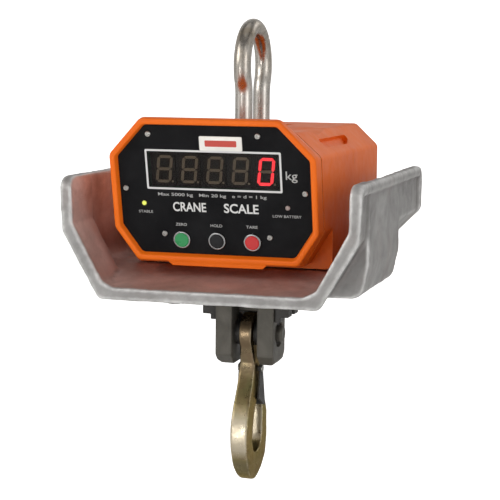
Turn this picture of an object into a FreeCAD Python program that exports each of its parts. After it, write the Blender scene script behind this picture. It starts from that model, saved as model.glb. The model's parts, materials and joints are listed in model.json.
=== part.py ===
"""Crane scale: a tension load cell between a top shackle and a bottom clevis with a latched eye hook,
inside a cast eight-sided housing that stands in a thick cast heat shield.

Millimetres, +Z up, the display faces -Y. The origin is the seat inside the top of the shackle bow, on the
load line. The functions below measure from the shackle pin, and main() lowers each piece by SEAT_Z.
"""

import FreeCAD, Part

import math
import os

V = FreeCAD.Vector

# Running and seating gaps
RUN_GAP = 0.08
SEAT_GAP = 0.3

# Display panel: its plane leans forward at the top
PANEL_TILT = 12.8
PANEL_Y = -146.7
PANEL_Z = -20.0
FRAME_PROUD = 6.6
FRAME_DEEP = 18.0
RIM_WIDTH = 7.6
FASCIA_T = 2.4
DISPLAY_W = 147.5
DISPLAY_H = 43.4
DISPLAY_S = -1.2
DIGIT_PITCH = 28.0
DIGIT_COUNT = 5
BUTTON_PITCH = 39.2
BUTTON_S = -78.5
BUTTON_TRAVEL = 2.5
CAP_R = 7.8
RING_R = 9.6
LAMP_X = 79.3
LAMP_S = -39.0
WINDOW_X = DISPLAY_W / 2 - 1.2
WINDOW_S = DISPLAY_H / 2 - 1.2
BOARD_N = -12.4
SWITCH_N = -9.2
BUTTONS = {"green_button": -BUTTON_PITCH, "black_button": 0.0, "red_button": BUTTON_PITCH}
FASCIA_SCREWS = [(-98.7, -22.8), (98.7, -22.8), (-58.4, -72.5), (58.4, -72.5), (-69.5, 37.5), (50.5, 37.5)]
FRAME_SCREWS = [(96.0, 17.0), (101.0, -42.0), (72.0, -90.0)]

# Housing barrel
HALF_W = 113.0
TOP_Z = 20.5
SHOULDER_Z = -5.0
TOP_HALF_W = 86.0
FRONT_BOTTOM_Z = -124.0
BOTTOM_Z = -129.0
BACK_Y = 154.0
STEP_Y = -75.0
WALL = 4.0
WELL_X = 28.0
WELL_Y = 78.0
WELL_FLOOR = -32.0
FRONT_SECTION = [(TOP_HALF_W, TOP_Z), (HALF_W, SHOULDER_Z), (HALF_W, -84.0), (89.0, FRONT_BOTTOM_Z)]
SQUARE_SECTION = [(TOP_HALF_W, TOP_Z), (HALF_W, SHOULDER_Z), (HALF_W, BOTTOM_Z)]
BACK_SECTION = [(TOP_HALF_W, TOP_Z), (HALF_W, SHOULDER_Z), (HALF_W, BOTTOM_Z + 16), (HALF_W - 16, BOTTOM_Z)]
BACK_SECTION_Y = 45.0
SECTION_R = 8.0
GASKET_T = 1.5
COVER_T = 4.0
SHELL_END = BACK_Y - GASKET_T - COVER_T
REAR_SCREWS = [(101.0, -20.0), (101.0, -98.0), (70.0, -121.0)]
BOSS_R = 8.5
DOOR_X = 58.0
DOOR_LOW = -112.0
DOOR_HIGH = -46.0
HINGE_Z = DOOR_LOW - 5.0
HINGE_Y = BACK_Y + 4.2
SOCKET_X = 86.0
SOCKET_Z = -40.0

# Shackle
ROD_R = 9.75
LEG_Y = 35.5
BOW_R = 42.7
BOW_Z = 89.0
BOW_FLARE = 25.0
EYE_R = 20.5
EYE_W = 19.0
SHACKLE_PIN_R = 11.0
SEAT_Z = BOW_Z + BOW_R - ROD_R
PIN_FACE = LEG_Y + EYE_W / 2 + SEAT_GAP
NUT_T = 14.0
SPLIT_Y = -PIN_FACE - NUT_T - 4.5
SPLIT_R = 1.9

# Load cell, clamp plate and clevis
NECK_X = 18.0
NECK_Y = 22.0
PLATE_T = 8.0
STUD_R = 16.0
BARREL_R = 18.0
CLEVIS_X = 34.4
CLEVIS_Y = 25.5
CLEVIS_TOP = -154.5
LOCK_Z = -166.0
SLOT_ROOF = -178.0
REAR_ROOF = -208.0
SLOT_X = 14.8
CLEVIS_BOTTOM = -251.5
CLEVIS_PIN_Z = -216.0
CLEVIS_PIN_R = 10.0
COUNTERBORE_R = 15.5
COUNTERBORE_D = 5.0
PIN_END_X = 39.8
CLIP_X = CLEVIS_X - COUNTERBORE_D + 1.0

# Hook
HOOK_EYE_R = 23.0
HOOK_EYE_X = 7.5
BOWL_Z = -336.0
BOWL_R = 20.0
LATCH_Y = 3.0
LATCH_Z = -258.5

# Heat shield
RIM_FRONT = -168.0
RIM_BACK = 178.0
RIM_TOP = -30.0
BEAD_W = 12.0
SHIELD_BOTTOM = -154.5
LIP_BOTTOM = -160.6
BOX_FRONT = -114.0
BOX_BACK = 50.0
PLINTH_TOP = -131.0
BOLT_X = 45.5
BOLT_Y = 14.0
BOLT_HOLE_R = 4.3
CORNER_R = 14.0
LIP_FULL = [(165.0, RIM_TOP), (162.5, -89.0), (120.7, LIP_BOTTOM)]
LIP_WALL = [(160.0, RIM_TOP), (157.6, -88.0), (118.5, SHIELD_BOTTOM)]
LIP_INNER = [(152.0, 0.0), (150.4, -79.0), (117.0, -140.5), (104.0, -147.0)]
BOX_WALL = [(161.0, RIM_TOP), (161.5, -118.0), (154.0, SHIELD_BOTTOM)]
BOX_INNER = [(154.5, 0.0), (154.0, PLINTH_TOP)]
REAR_FULL = [(165.0, RIM_TOP), (165.0, -82.0), (92.5, SHIELD_BOTTOM)]
REAR_WALL = [(160.0, RIM_TOP), (160.0, -84.0), (89.5, SHIELD_BOTTOM)]
REAR_INNER = [(153.5, 0.0), (153.5, -86.7), (109.0, PLINTH_TOP)]
RAMP_END = -80.0
EARTH_X = -41.0
EARTH_Y = -148.0


# ---------------------------------------------------------------- helpers

def box(x0, x1, y0, y1, z0, z1):
    return Part.makeBox(x1 - x0, y1 - y0, z1 - z0, V(x0, y0, z0))


def rod(radius, start, end):
    axis = V(*end) - V(*start)
    return Part.makeCylinder(radius, axis.Length, V(*start), axis)


def tube(outer, inner, start, end):
    return rod(outer, start, end).cut(rod(inner, start, end))


def in_xz(y):
    return lambda a, b: V(a, y, b)


def in_yz(x):
    return lambda a, b: V(x, a, b)


def in_xy(z):
    return lambda a, b: V(a, b, z)


def corner(before, at, after, radius):
    """Start, middle and end of the arc that rounds one corner."""
    to_before = (before - at).normalize()
    to_after = (after - at).normalize()
    half = to_before.getAngle(to_after) / 2.0
    reach = radius / math.tan(half)
    middle = (to_before + to_after).normalize() * (radius / math.sin(half) - radius)
    return at + to_before * reach, at + middle, at + to_after * reach


def outline(points, radii, place):
    """Closed wire through the points with rounded corners. radii is one radius or one for each corner."""
    if not isinstance(radii, (list, tuple)):
        radii = [radii] * len(points)
    corners = [place(a, b) for a, b in points]
    arcs = []
    for i, radius in enumerate(radii):
        arcs.append(corner(V(corners[i - 1]), V(corners[i]), V(corners[(i + 1) % len(corners)]), radius))
    edges = []
    for i, (start, middle, end) in enumerate(arcs):
        edges.append(Part.Arc(start, middle, end).toShape())
        following = arcs[(i + 1) % len(arcs)][0]
        if (following - end).Length > 1e-6:
            edges.append(Part.makeLine(end, following))
    return Part.Wire(edges)


def prism(points, radii, place, along):
    return Part.Face(outline(points, radii, place)).extrude(along)


def mirrored(half):
    """A full outline from its right half, listed from the top down."""
    return half + [(-a, b) for a, b in reversed(half)]


def fuse_all(shapes):
    whole = shapes[0]
    for shape in shapes[1:]:
        whole = whole.fuse(shape)
    return whole.removeSplitter()


def cut_all(base, tools):
    for tool in tools:
        base = base.cut(tool)
    return base


def both_sides(shape):
    return [shape, shape.mirror(V(0, 0, 0), V(1, 0, 0))]


def group(solids):
    """Separate solids kept in one sub-part."""
    flat = []
    for solid in solids:
        flat.extend(solid.Solids)
    return Part.makeCompound(flat)


def bolt_holes(radius, z0, z1):
    return [rod(radius, (x, y, z0), (x, y, z1)) for x in (-BOLT_X, BOLT_X) for y in (-BOLT_Y, BOLT_Y)]


def hexagon(across_flats, centre, along):
    """Hexagonal prism from a centre point along a vector."""
    direction = V(*along)
    side = V(0, 0, 1).cross(direction)
    if side.Length < 1e-6:
        side = V(1, 0, 0)
    side.normalize()
    up = direction.cross(side).normalize()
    reach = across_flats / math.sqrt(3.0)
    points = []
    for i in range(7):
        angle = math.radians(60.0 * i + 30.0)
        points.append(V(*centre) + side * (reach * math.cos(angle)) + up * (reach * math.sin(angle)))
    return Part.Face(Part.makePolygon(points)).extrude(direction)


def pipe(radius, points):
    """Round bar along a smooth curve through the points."""
    curve = Part.BSplineCurve()
    curve.interpolate([V(*p) for p in points])
    path = Part.Wire([curve.toShape()])
    tangent = curve.tangent(curve.FirstParameter)[0]
    ring = Part.Wire([Part.makeCircle(radius, V(*points[0]), tangent)])
    return path.makePipeShell([ring], True, True)


def on_panel(shape):
    """Moves a shape from panel axes (x, up the panel, out of the panel) to its place."""
    turn = FreeCAD.Rotation(V(1, 0, 0), 90.0 + PANEL_TILT)
    return shape.transformed(FreeCAD.Placement(V(0, PANEL_Y, PANEL_Z), turn).toMatrix())


def panel_s(z, n):
    """Height up the panel of world height z, on the plane n in front of the panel."""
    tilt = math.radians(PANEL_TILT)
    return (z - PANEL_Z + n * math.sin(tilt)) / math.cos(tilt)


def panel_disc(radius, x, s, n0, n1):
    return rod(radius, (x, s, n0), (x, s, n1))


def pan_screw(head_r, head_h, shank_r, length, x, s, n):
    """Pan-head screw standing on the panel plane n, with a cross recess."""
    head = panel_disc(head_r, x, s, n, n + head_h)
    head = head.makeChamfer(head_h * 0.35, [head.Edges[0]])
    shank = panel_disc(shank_r, x, s, n - length, n)
    screw = head.fuse(shank)
    arm = head_r * 0.55
    slot_w = head_r * 0.14
    slot_d = head_h * 0.5
    across = box(x - arm, x + arm, s - slot_w, s + slot_w, n + head_h - slot_d, n + head_h + 1)
    up = box(x - slot_w, x + slot_w, s - arm, s + arm, n + head_h - slot_d, n + head_h + 1)
    return screw.cut(across).cut(up)


# ---------------------------------------------------------------- shackle

def shackle_bow():
    flare = math.radians(BOW_FLARE)
    flare_r = (BOW_R * math.cos(flare) - LEG_Y) / (1.0 - math.cos(flare))
    bow_start = (BOW_R * math.cos(flare), BOW_Z - BOW_R * math.sin(flare))
    flare_start = bow_start[1] - flare_r * math.sin(flare)
    half = flare / 2.0
    flare_mid = (LEG_Y + flare_r * (1.0 - math.cos(half)), flare_start + flare_r * math.sin(half))
    leg = Part.makeLine(V(0, LEG_Y, 0), V(0, LEG_Y, flare_start))
    out = Part.Arc(V(0, LEG_Y, flare_start), V(0, *flare_mid), V(0, *bow_start)).toShape()
    over = Part.Arc(V(0, *bow_start), V(0, 0, BOW_Z + BOW_R), V(0, -bow_start[0], bow_start[1])).toShape()
    back = Part.Arc(V(0, -bow_start[0], bow_start[1]), V(0, -flare_mid[0], flare_mid[1]),
                    V(0, -LEG_Y, flare_start)).toShape()
    down = Part.makeLine(V(0, -LEG_Y, flare_start), V(0, -LEG_Y, 0))
    path = Part.Wire([leg, out, over, back, down])
    ring = Part.Wire([Part.makeCircle(ROD_R, V(0, LEG_Y, 0), V(0, 0, 1))])
    bow = path.makePipeShell([ring], True, True)
    for side in (-1, 1):
        eye = rod(EYE_R, (0, side * LEG_Y - EYE_W / 2, 0), (0, side * LEG_Y + EYE_W / 2, 0))
        eye = eye.makeFillet(2.5, [e for e in eye.Edges if e.Curve.TypeId == "Part::GeomCircle"])
        bow = bow.fuse(eye)
    hole_r = SHACKLE_PIN_R + RUN_GAP
    return bow.cut(rod(hole_r, (0, -60, 0), (0, 60, 0)))


def shackle_pin():
    shank = rod(SHACKLE_PIN_R, (0, SPLIT_Y - 5.0, 0), (0, PIN_FACE, 0))
    shank = shank.makeChamfer(1.5, [shank.Edges[2]])
    head = rod(17.0, (0, PIN_FACE, 0), (0, PIN_FACE + 9.0, 0))
    head = head.makeChamfer(2.0, [head.Edges[0]])
    return shank.fuse(head).cut(rod(SPLIT_R + RUN_GAP, (-20, SPLIT_Y, 0), (20, SPLIT_Y, 0)))


def shackle_nut():
    nut = hexagon(32.0, (0, -PIN_FACE, 0), (0, -NUT_T, 0))
    return nut.cut(rod(SHACKLE_PIN_R + RUN_GAP, (0, -80, 0), (0, -20, 0)))


def shackle_split_pin():
    straight = rod(SPLIT_R, (-16.5, SPLIT_Y, 0), (14.0, SPLIT_Y, 0))
    eye = Part.makeTorus(3.4, SPLIT_R * 0.8, V(16.4, SPLIT_Y, 0), V(0, 1, 0))
    return straight.fuse(eye)


# ---------------------------------------------------------------- load cell and clamp

def load_cell():
    head = rod(24.0, (0, -25.0, 0), (0, 25.0, 0))
    neck_bottom = PLINTH_TOP + 2 + WALL + PLATE_T
    neck = box(-NECK_X, NECK_X, -NECK_Y, NECK_Y, neck_bottom, 0)
    waist = [rod(10.0, (side * (NECK_X + 6), -40, -52), (side * (NECK_X + 6), 40, -52)) for side in (-1, 1)]
    barrel = rod(BARREL_R, (0, 0, CLEVIS_TOP), (0, 0, neck_bottom))
    stud = rod(STUD_R, (0, 0, SLOT_ROOF + 1), (0, 0, CLEVIS_TOP))
    cell = fuse_all([head, neck, barrel, stud])
    cell = cut_all(cell, waist)
    pockets = both_sides(rod(13.0, (NECK_X - 5, 0, -88), (NECK_X + 1, 0, -88)))
    bore = rod(SHACKLE_PIN_R + RUN_GAP, (0, -40, 0), (0, 40, 0))
    lock = rod(3.0 + RUN_GAP, (0, -40, LOCK_Z), (0, 40, LOCK_Z))
    cable_hole = rod(5.5, (NECK_X - 4, 0, -110), (NECK_X + 1, 0, -110))
    return cut_all(cell, pockets + [bore, lock, cable_hole])


def gauge_covers():
    cover = rod(12.8, (NECK_X - 3.0, 0, -88), (NECK_X - 0.5, 0, -88))
    return group(both_sides(cover))


def cell_cable():
    path = [(NECK_X - 3.5, 0, -110), (19, 0, -110), (24, -1, -110), (36, -14, -107), (44, -50, -90),
            (44, -82, -72)]
    return pipe(2.6, path)


def clamp_plate():
    top = PLINTH_TOP + 2 + WALL + PLATE_T
    plate = box(-60, 60, -30, 30, top - PLATE_T, top)
    plate = plate.makeFillet(6.0, [e for e in plate.Edges if abs(e.tangentAt(e.FirstParameter).z) > 0.9])
    barrel = rod(BARREL_R + RUN_GAP, (0, 0, -200), (0, 0, 0))
    return cut_all(plate, bolt_holes(BOLT_HOLE_R, -200, 0) + [barrel])


def shield_bolts():
    top = PLINTH_TOP + 2 + WALL + PLATE_T
    bolts = []
    for x in (-BOLT_X, BOLT_X):
        for y in (-BOLT_Y, BOLT_Y):
            head = hexagon(13.0, (x, y, top), (0, 0, 5.5))
            bolts.append(head.fuse(rod(4.0, (x, y, CLEVIS_TOP - 18), (x, y, top))))
    return group(bolts)


def shield_brackets():
    brackets = []
    for side, foot_z in ((-1, -200.0), (1, -194.0)):
        y0, y1 = sorted((side * 22.0, side * 6.0))
        wide = box(CLEVIS_X, 51.0, y0, y1, -194.0, SHIELD_BOTTOM)
        low = box(CLEVIS_X, 41.5, y0, y1, foot_z, -193.0)
        hole = rod(4.0 + RUN_GAP, (BOLT_X, side * BOLT_Y, CLEVIS_TOP - 20), (BOLT_X, side * BOLT_Y, -100))
        brackets += both_sides(wide.fuse(low).removeSplitter().cut(hole))
    return group(brackets)


# ---------------------------------------------------------------- clevis and hook

def clevis():
    side = [(CLEVIS_Y, CLEVIS_TOP), (CLEVIS_Y, CLEVIS_BOTTOM + 11.5), (13.5, CLEVIS_BOTTOM)]
    block = prism(mirrored(side), [2.0, 3.0, 3.0, 3.0, 3.0, 2.0], in_yz(-CLEVIS_X), V(2 * CLEVIS_X, 0, 0))
    face = [(CLEVIS_X, CLEVIS_TOP), (CLEVIS_X, CLEVIS_BOTTOM + 4.5), (CLEVIS_X - 4.5, CLEVIS_BOTTOM)]
    block = block.common(prism(mirrored(face), [1.5, 2.5, 2.5, 2.5, 2.5, 1.5], in_xz(-40), V(0, 80, 0)))
    slots = [rod(HOOK_EYE_R + 0.8, (-SLOT_X, 0, CLEVIS_PIN_Z), (SLOT_X, 0, CLEVIS_PIN_Z))]
    for roof_z, y0, y1 in ((SLOT_ROOF, -40.0, 0.5), (REAR_ROOF, 0.0, 40.0)):
        roof = [(SLOT_X, roof_z), (SLOT_X, CLEVIS_BOTTOM - 10)]
        slots.append(prism(mirrored(roof), [5.0, 1.0, 1.0, 5.0], in_xz(y0), V(0, y1 - y0, 0)))
    bore = rod(CLEVIS_PIN_R + RUN_GAP, (-50, 0, CLEVIS_PIN_Z), (50, 0, CLEVIS_PIN_Z))
    recess = rod(COUNTERBORE_R, (CLEVIS_X - COUNTERBORE_D, 0, CLEVIS_PIN_Z), (50, 0, CLEVIS_PIN_Z))
    thread = rod(STUD_R + RUN_GAP, (0, 0, SLOT_ROOF), (0, 0, CLEVIS_TOP + 5))
    lock = rod(3.0 + RUN_GAP, (0, -40, LOCK_Z), (0, 40, LOCK_Z))
    return cut_all(block, slots + [bore, thread, lock] + both_sides(recess))


def stud_lock_pin():
    return rod(3.0, (0, -CLEVIS_Y + 1, LOCK_Z), (0, CLEVIS_Y - 1, LOCK_Z))


def clevis_pin():
    pin = rod(CLEVIS_PIN_R, (-PIN_END_X, 0, CLEVIS_PIN_Z), (PIN_END_X, 0, CLEVIS_PIN_Z))
    pin = pin.makeFillet(3.2, [pin.Edges[0], pin.Edges[2]])
    groove = tube(12.0, 9.0, (CLIP_X, 0, CLEVIS_PIN_Z), (CLIP_X + 1.6, 0, CLEVIS_PIN_Z))
    return cut_all(pin, both_sides(groove))


def pin_circlips():
    clip = tube(13.6, 9.1, (CLIP_X + 0.1, 0, CLEVIS_PIN_Z), (CLIP_X + 1.5, 0, CLEVIS_PIN_Z))
    gap = box(CLIP_X - 1, CLIP_X + 3, -3.5, 3.5, CLEVIS_PIN_Z - 16, CLEVIS_PIN_Z)
    return group(both_sides(clip.cut(gap)))


def hook_spacers():
    ring = tube(15.0, CLEVIS_PIN_R + RUN_GAP, (HOOK_EYE_X + SEAT_GAP, 0, CLEVIS_PIN_Z),
                (SLOT_X - SEAT_GAP, 0, CLEVIS_PIN_Z))
    return group(both_sides(ring))


def spline_edge(points, start_tangent, end_tangent):
    curve = Part.BSplineCurve()
    curve.interpolate(Points=[V(0, a, b) for a, b in points],
                      InitialTangent=V(0, *start_tangent), FinalTangent=V(0, *end_tangent))
    return curve.toShape()


def hook():
    spine = [(-12.0, -236.0), (-13.5, -256.0), (-27.0, -284.0), (-42.0, -314.0), (-42.5, -348.0),
             (-26.0, -377.0), (0.0, -388.7), (26.0, -379.0), (40.0, -350.0), (38.5, -318.0), (33.0, -303.0)]
    tip_inner = (21.0, -306.0)
    tip_top = (27.5, -299.0)
    bowl_in = (BOWL_R, BOWL_Z)
    bowl_out = (-BOWL_R, BOWL_Z)
    shank = [bowl_out, (-14.0, -311.0), (1.0, -288.0), (13.0, -262.0), (12.0, -236.0)]
    edges = [
        spline_edge(spine, (0, -1), (-0.45, 0.9)),
        Part.Arc(V(0, 33.0, -303.0), V(0, *tip_top), V(0, *tip_inner)).toShape(),
        spline_edge([tip_inner, (20.6, -320.0), bowl_in], (0, -1), (0, -1)),
        Part.Arc(V(0, *bowl_in), V(0, 0, BOWL_Z - BOWL_R), V(0, *bowl_out)).toShape(),
        spline_edge(shank, (0, 1), (0, 1)),
        Part.makeLine(V(0, 12.0, -236.0), V(0, -12.0, -236.0)),
    ]
    body = Part.Face(Part.Wire(edges)).extrude(V(24, 0, 0))
    body.translate(V(-12, 0, 0))
    neck = prism([(-19, -226), (19, -226), (12.5, -250), (-12.5, -250)], 1.0, in_yz(-12), V(24, 0, 0))
    eye = rod(HOOK_EYE_R, (-12, 0, CLEVIS_PIN_Z), (12, 0, CLEVIS_PIN_Z))
    plan = fuse_all([eye, neck, body])
    flank = [(HOOK_EYE_X, -190.0), (HOOK_EYE_X, -232.0), (9.2, -254.0), (10.4, -320.0), (9.6, -365.0),
             (7.0, -392.0)]
    forged = plan.common(prism(mirrored(flank), [2, 20, 40, 60, 40, 2, 2, 40, 60, 40, 20, 2],
                               in_xz(-80), V(0, 160, 0)))
    bore = rod(CLEVIS_PIN_R + RUN_GAP, (-20, 0, CLEVIS_PIN_Z), (20, 0, CLEVIS_PIN_Z))
    pivot = rod(2.5 + RUN_GAP, (-20, LATCH_Y, LATCH_Z), (20, LATCH_Y, LATCH_Z))
    return forged.cut(bore).cut(pivot)


def hook_latch():
    """Folded sheet: two cheeks outside the neck, joined by a web behind the tip."""
    side = [(LATCH_Y + 4.5, LATCH_Z + 3.5), (19.4, -302.5), (18.6, -304.5), (14.4, -303.5), (-7.0, -291.0),
            (LATCH_Y - 5.5, LATCH_Z - 4)]
    web = prism(side, 0.6, in_yz(-13.2), V(26.4, 0, 0))
    web = web.cut(box(-11.2, 11.2, -60, 15.4, -310, LATCH_Z + 20))
    ear = rod(6.0, (11.2, LATCH_Y, LATCH_Z), (13.2, LATCH_Y, LATCH_Z))
    blade = web.fuse(ear).fuse(ear.mirror(V(0, 0, 0), V(1, 0, 0)))
    return blade.cut(rod(2.5 + RUN_GAP, (-20, LATCH_Y, LATCH_Z), (20, LATCH_Y, LATCH_Z)))


def latch_pin():
    shank = rod(2.5, (-14.4, LATCH_Y, LATCH_Z), (14.4, LATCH_Y, LATCH_Z))
    heads = [rod(4.2, (x, LATCH_Y, LATCH_Z), (x + 1.3, LATCH_Y, LATCH_Z)) for x in (-14.6, 13.3)]
    return fuse_all([shank] + heads)


# ---------------------------------------------------------------- housing

def inset(points, distance):
    """Convex outline moved inward by a distance. Points run clockwise."""
    count = len(points)
    lines = []
    for i in range(count):
        (ax, az), (bx, bz) = points[i], points[(i + 1) % count]
        length = math.hypot(bx - ax, bz - az)
        nx, nz = (bz - az) / length, -(bx - ax) / length
        lines.append((ax + nx * distance, az + nz * distance, bx - ax, bz - az))
    moved = []
    for i in range(count):
        px, pz, dx, dz = lines[i - 1]
        qx, qz, ex, ez = lines[i]
        t = ((qx - px) * ez - (qz - pz) * ex) / (dx * ez - dz * ex)
        moved.append((px + dx * t, pz + dz * t))
    return moved


def section_prism(half, y0, y1, inward=0.0, radius=SECTION_R):
    points = mirrored(half)
    if inward:
        points = inset(points, inward)
    return prism(points, radius, in_xz(y0), V(0, y1 - y0, 0))


def housing_outer():
    front = section_prism(FRONT_SECTION, -180.0, STEP_Y)
    square = section_prism(SQUARE_SECTION, STEP_Y, BACK_SECTION_Y)
    back = section_prism(BACK_SECTION, BACK_SECTION_Y, SHELL_END)
    return fuse_all([front, square, back])


def housing_cavity():
    inner_r = SECTION_R - WALL
    front = section_prism(FRONT_SECTION, -181.0, STEP_Y + WALL, WALL, inner_r)
    square = section_prism(SQUARE_SECTION, STEP_Y + WALL, BACK_SECTION_Y - WALL, WALL, inner_r)
    back = section_prism(BACK_SECTION, BACK_SECTION_Y - WALL, SHELL_END + 1, WALL, inner_r)
    return fuse_all([front, square, back])


def shoulder_pads():
    """Thick patches behind the recesses in the upper slopes."""
    slope = [(TOP_HALF_W - 2, TOP_Z - 2), (HALF_W - 2, SHOULDER_Z - 3), (HALF_W - 12, SHOULDER_Z - 12),
             (TOP_HALF_W - 12, TOP_Z - 12)]
    pad = prism(slope, 1.0, in_xz(-92), V(0, 158, 0))
    shelf = box(WELL_X + 2, TOP_HALF_W, -90, 8, TOP_Z - 11, TOP_Z - 3)
    return both_sides(pad) + both_sides(shelf)


def slope_pocket():
    """Long recess sunk into the upper slope, square at the front and swept at the back."""
    points = [(-79.0, -6.5), (50.0, -6.5), (44.0, 0.5), (22.0, 6.5), (-79.0, 6.5)]
    lean = math.radians(45.0)
    centre = V((TOP_HALF_W + HALF_W) / 2 + 1.0, 0, (TOP_Z + SHOULDER_Z) / 2 - 1.0)
    down = V(math.cos(lean), 0, -math.sin(lean))
    out = V(math.sin(lean), 0, math.cos(lean))
    place = lambda a, b: centre + V(0, a, 0) + down * b - out * 5.5
    return prism(points, [3.0, 2.0, 5.0, 8.0, 3.0], place, out * 20)


def drain_channel():
    """Shallow V channel that lets rain out of the shackle well."""
    points = [(-82.5, TOP_Z + 0.5), (0.0, TOP_Z + 0.5), (-60.0, TOP_Z - 5.5)]
    return prism(points, [0.3, 0.3, 3.0], in_yz(WELL_X - 1), V(120, 0, 0))


def housing_shell():
    outer = housing_outer()
    shell = outer.cut(housing_cavity())
    for pad in shoulder_pads():
        shell = shell.fuse(pad.common(outer))
    well = box(-WELL_X - WALL, WELL_X + WALL, -WELL_Y - WALL, WELL_Y + WALL, WELL_FLOOR - WALL, TOP_Z - 1)
    shell = shell.fuse(well)
    plane = -FRAME_DEEP - GASKET_T
    for x, z in REAR_SCREWS:
        for boss in both_sides(rod(BOSS_R, (x, 112, z), (x, SHELL_END, z))):
            shell = shell.fuse(boss.common(outer))
    for x, s in FRAME_SCREWS:
        boss = panel_disc(BOSS_R, x, s, -50, plane)
        if s < -80:
            boss = boss.fuse(box(x - 3, x + 3, s - 25, s, -50, plane))
        for side in both_sides(on_panel(boss)):
            shell = shell.fuse(side.common(outer))
    recesses = both_sides(slope_pocket()) + both_sides(drain_channel())
    recesses.append(box(-WELL_X, WELL_X, -WELL_Y, WELL_Y, WELL_FLOOR, TOP_Z + 30))
    recesses.append(box(-NECK_X - 0.6, NECK_X + 0.6, -NECK_Y - 0.6, NECK_Y + 0.6, -60, 0))
    recesses.append(rod(BARREL_R + 1.0, (0, 0, -140), (0, 0, -110)))
    recesses.append(on_panel(box(-200, 200, -300, 300, plane, 200)))
    recesses += bolt_holes(BOLT_HOLE_R, -140, -120)
    for x, z in REAR_SCREWS:
        recesses += both_sides(rod(2.5 + RUN_GAP, (x, 118, z), (x, 200, z)))
    for x, s in FRAME_SCREWS:
        recesses += [on_panel(hole) for hole in both_sides(panel_disc(2.0 + RUN_GAP, x, s, -44, 0))]
    return cut_all(shell, recesses).removeSplitter()


def front_outline():
    return mirrored([(75.8, 55.7), (113.1, 15.9), (113.1, -65.7), (89.3, -102.0)])


def frame_back_outline(n):
    half = [(x, panel_s(z, n)) for x, z in FRONT_SECTION]
    return mirrored(half)


def panel_prism(points, radius, n0, n1):
    return prism(points, radius, in_xy(n0), V(0, 0, n1 - n0))


def front_frame():
    """Raised rim, tapering back from the leaning face to the barrel's outline."""
    face = panel_prism(front_outline(), 9.0, -2.0, FRAME_PROUD)
    edges = [e for e in face.Edges if min(v.Point.z for v in e.Vertexes) > FRAME_PROUD - 0.01]
    face = face.makeFillet(2.0, edges)
    near = outline(front_outline(), 9.0, in_xy(-2.0))
    far = outline(frame_back_outline(-FRAME_DEEP), SECTION_R, in_xy(-FRAME_DEEP))
    skirt = Part.makeLoft([near, far], True, True)
    lip = panel_prism([(-50, -106.5), (-57, -101), (57, -101), (50, -106.5)], 1.5, -10, FRAME_PROUD - 0.6)
    frame = face.fuse(skirt).fuse(lip)
    mouth_out = outline(inset(front_outline(), RIM_WIDTH - 1.6), 6.0, in_xy(FRAME_PROUD + 0.01))
    mouth_in = outline(inset(front_outline(), RIM_WIDTH + 0.4), 6.0, in_xy(0.0))
    seat = panel_prism(inset(front_outline(), RIM_WIDTH), 6.0, -FASCIA_T, 0.01)
    board_room = box(-78, 78, -31, 28, -9, 0)
    button_room = box(-50, 50, -93, 0, -9, 0)
    behind = panel_prism(inset(frame_back_outline(-FRAME_DEEP), 10.0), 4.0, -FRAME_DEEP - 1, -8)
    cuts = [Part.makeLoft([mouth_in, mouth_out], True, True), seat, board_room, button_room, behind]
    frame = cut_all(frame, cuts)
    bodies = panel_prism(inset(frame_back_outline(-FRAME_DEEP), 1.0), 4.0, -FRAME_DEEP, -7)
    for x, s in FRAME_SCREWS:
        for post in both_sides(panel_disc(6.5, x, s, -FRAME_DEEP, -7)):
            frame = frame.fuse(post.common(bodies))
        for hole in both_sides(panel_disc(2.0 + RUN_GAP, x, s, -30, 1)):
            frame = frame.cut(hole)
        for sink in both_sides(panel_disc(4.2, x, s, -5.4, 0)):
            frame = frame.cut(sink)
    for x in (-LAMP_X, LAMP_X):
        frame = frame.cut(panel_disc(3.2, x, LAMP_S, -12, 0))
    for x, s in FASCIA_SCREWS:
        frame = frame.cut(panel_disc(1.5 + RUN_GAP, x, s, -7.5, 0))
    return on_panel(frame)


def frame_screws():
    screws = []
    for x, s in FRAME_SCREWS:
        for side in (-x, x):
            head = panel_disc(3.9, side, s, -5.3, -2.9)
            screws.append(head.fuse(panel_disc(2.0, side, s, -36, -5.3)))
    return group([on_panel(screw) for screw in screws])


def front_gasket():
    plane = -FRAME_DEEP
    outer = panel_prism(inset(frame_back_outline(plane), 0.6), SECTION_R - 1, plane - GASKET_T, plane)
    inner = panel_prism(inset(frame_back_outline(plane), 3.6), 4.0, plane - GASKET_T - 1, plane + 1)
    return on_panel(outer.cut(inner))


def fascia():
    plate = panel_prism(inset(front_outline(), RIM_WIDTH + 0.2), 5.8, -FASCIA_T, 0)
    half_x = WINDOW_X + 0.1
    half_s = WINDOW_S + 0.1
    cuts = [box(-half_x, half_x, DISPLAY_S - half_s, DISPLAY_S + half_s, -9, 9)]
    cuts += [panel_disc(1.6, x, s, -9, 9) for x, s in FASCIA_SCREWS]
    cuts += [panel_disc(CAP_R + 1.3, x, BUTTON_S, -9, 9) for x in BUTTONS.values()]
    cuts += [panel_disc(2.6, x, LAMP_S, -9, 9) for x in (-LAMP_X, LAMP_X)]
    return on_panel(cut_all(plate, cuts))


def fascia_screws():
    return group([on_panel(pan_screw(3.0, 1.5, 1.5, 7.0, x, s, 0)) for x, s in FASCIA_SCREWS])


def display_window():
    return on_panel(box(-WINDOW_X, WINDOW_X, DISPLAY_S - WINDOW_S, DISPLAY_S + WINDOW_S, -FASCIA_T, 0))


def digit_blocks():
    first = -DIGIT_PITCH * (DIGIT_COUNT - 1) / 2
    blocks = []
    for i in range(DIGIT_COUNT):
        x = first + i * DIGIT_PITCH
        block = box(x - 13.4, x + 13.4, DISPLAY_S - 19, DISPLAY_S + 19, BOARD_N, -FASCIA_T - SEAT_GAP)
        blocks.append(on_panel(block))
    return group(blocks)


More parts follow.
